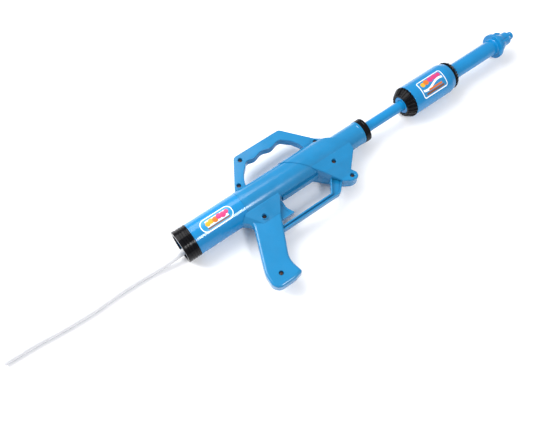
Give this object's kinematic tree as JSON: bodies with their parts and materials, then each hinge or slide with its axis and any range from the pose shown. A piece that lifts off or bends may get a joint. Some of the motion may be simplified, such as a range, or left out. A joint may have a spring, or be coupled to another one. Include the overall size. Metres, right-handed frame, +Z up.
{
  "type": "slide action hand pump",
  "caption": "Gun-shaped slide-action hand pump with carry handle, pistol grip, trigger, sliding pump grip, nozzle and a clear suction hose.",
  "frame": {"origin": "centre of the bounding box without the hose, on the surface that the pump lies on", "axes": "+X along the barrel from the open rear end to the nozzle, +Y towards the carry handle, +Z up through the side that shows the screws, with the pump lying on its other side"},
  "size_m": [0.8522, 0.189, 0.0476],
  "materials": {
    "tube_blue": "glossy moulded blue",
    "housing_blue": "satin moulded blue",
    "rod_blue": "glossy blue tube",
    "cap_black": "satin black moulding",
    "trigger_blue": "glossy moulded blue",
    "screw_steel": "plated screw",
    "inner_white": "plain moulded white",
    "seal_rubber": "soft black seal",
    "hose_clear": "clear flexible tube",
    "label_print": null
  },
  "bodies": {
    "gun": {"rear_tube": "tube_blue", "housing_right": "housing_blue", "housing_left": "housing_blue", "rod_tube": "rod_blue", "rear_collar": "cap_black", "front_collar": "cap_black", "rod_clamp": "cap_black", "screw_handle_top": "screw_steel", "screw_handle_rear": "screw_steel", "screw_web": "screw_steel", "screw_shield": "screw_steel", "screw_lug": "screw_steel", "screw_grip_top": "screw_steel", "screw_grip_butt": "screw_steel", "trigger_pin": "screw_steel", "inlet_valve_ball": "screw_steel", "hose_connector": "inner_white", "piston_head": "inner_white", "piston_seal": "seal_rubber", "suction_hose": "hose_clear", "tube_label": "label_print"},
    "pump_slide": {"pump_cylinder": "tube_blue", "cylinder_gland": "tube_blue", "grip_sleeve": "tube_blue", "grip_rear_cap": "cap_black", "grip_front_cap": "cap_black", "nozzle_cap": "tube_blue", "nozzle_tip": "tube_blue", "outlet_valve_ball": "screw_steel", "grip_label": "label_print"},
    "trigger_lever": {"trigger": "trigger_blue", "trigger_spring": "screw_steel"}
  },
  "joints": [
    {"name": "pump_stroke", "type": "slide", "parent": "gun", "child": "pump_slide", "axis": [1, 0, 0], "range_m": [-0.065, 0.08]},
    {"name": "trigger_pull", "type": "hinge", "parent": "gun", "child": "trigger_lever", "pos_m": [-0.16025, 0.0102, 0.0238], "axis": [0, 0, -1], "range_deg": [0, 12], "stiffness_Nm_per_rad": 0.05, "springref_deg": -11.46}
  ]
}
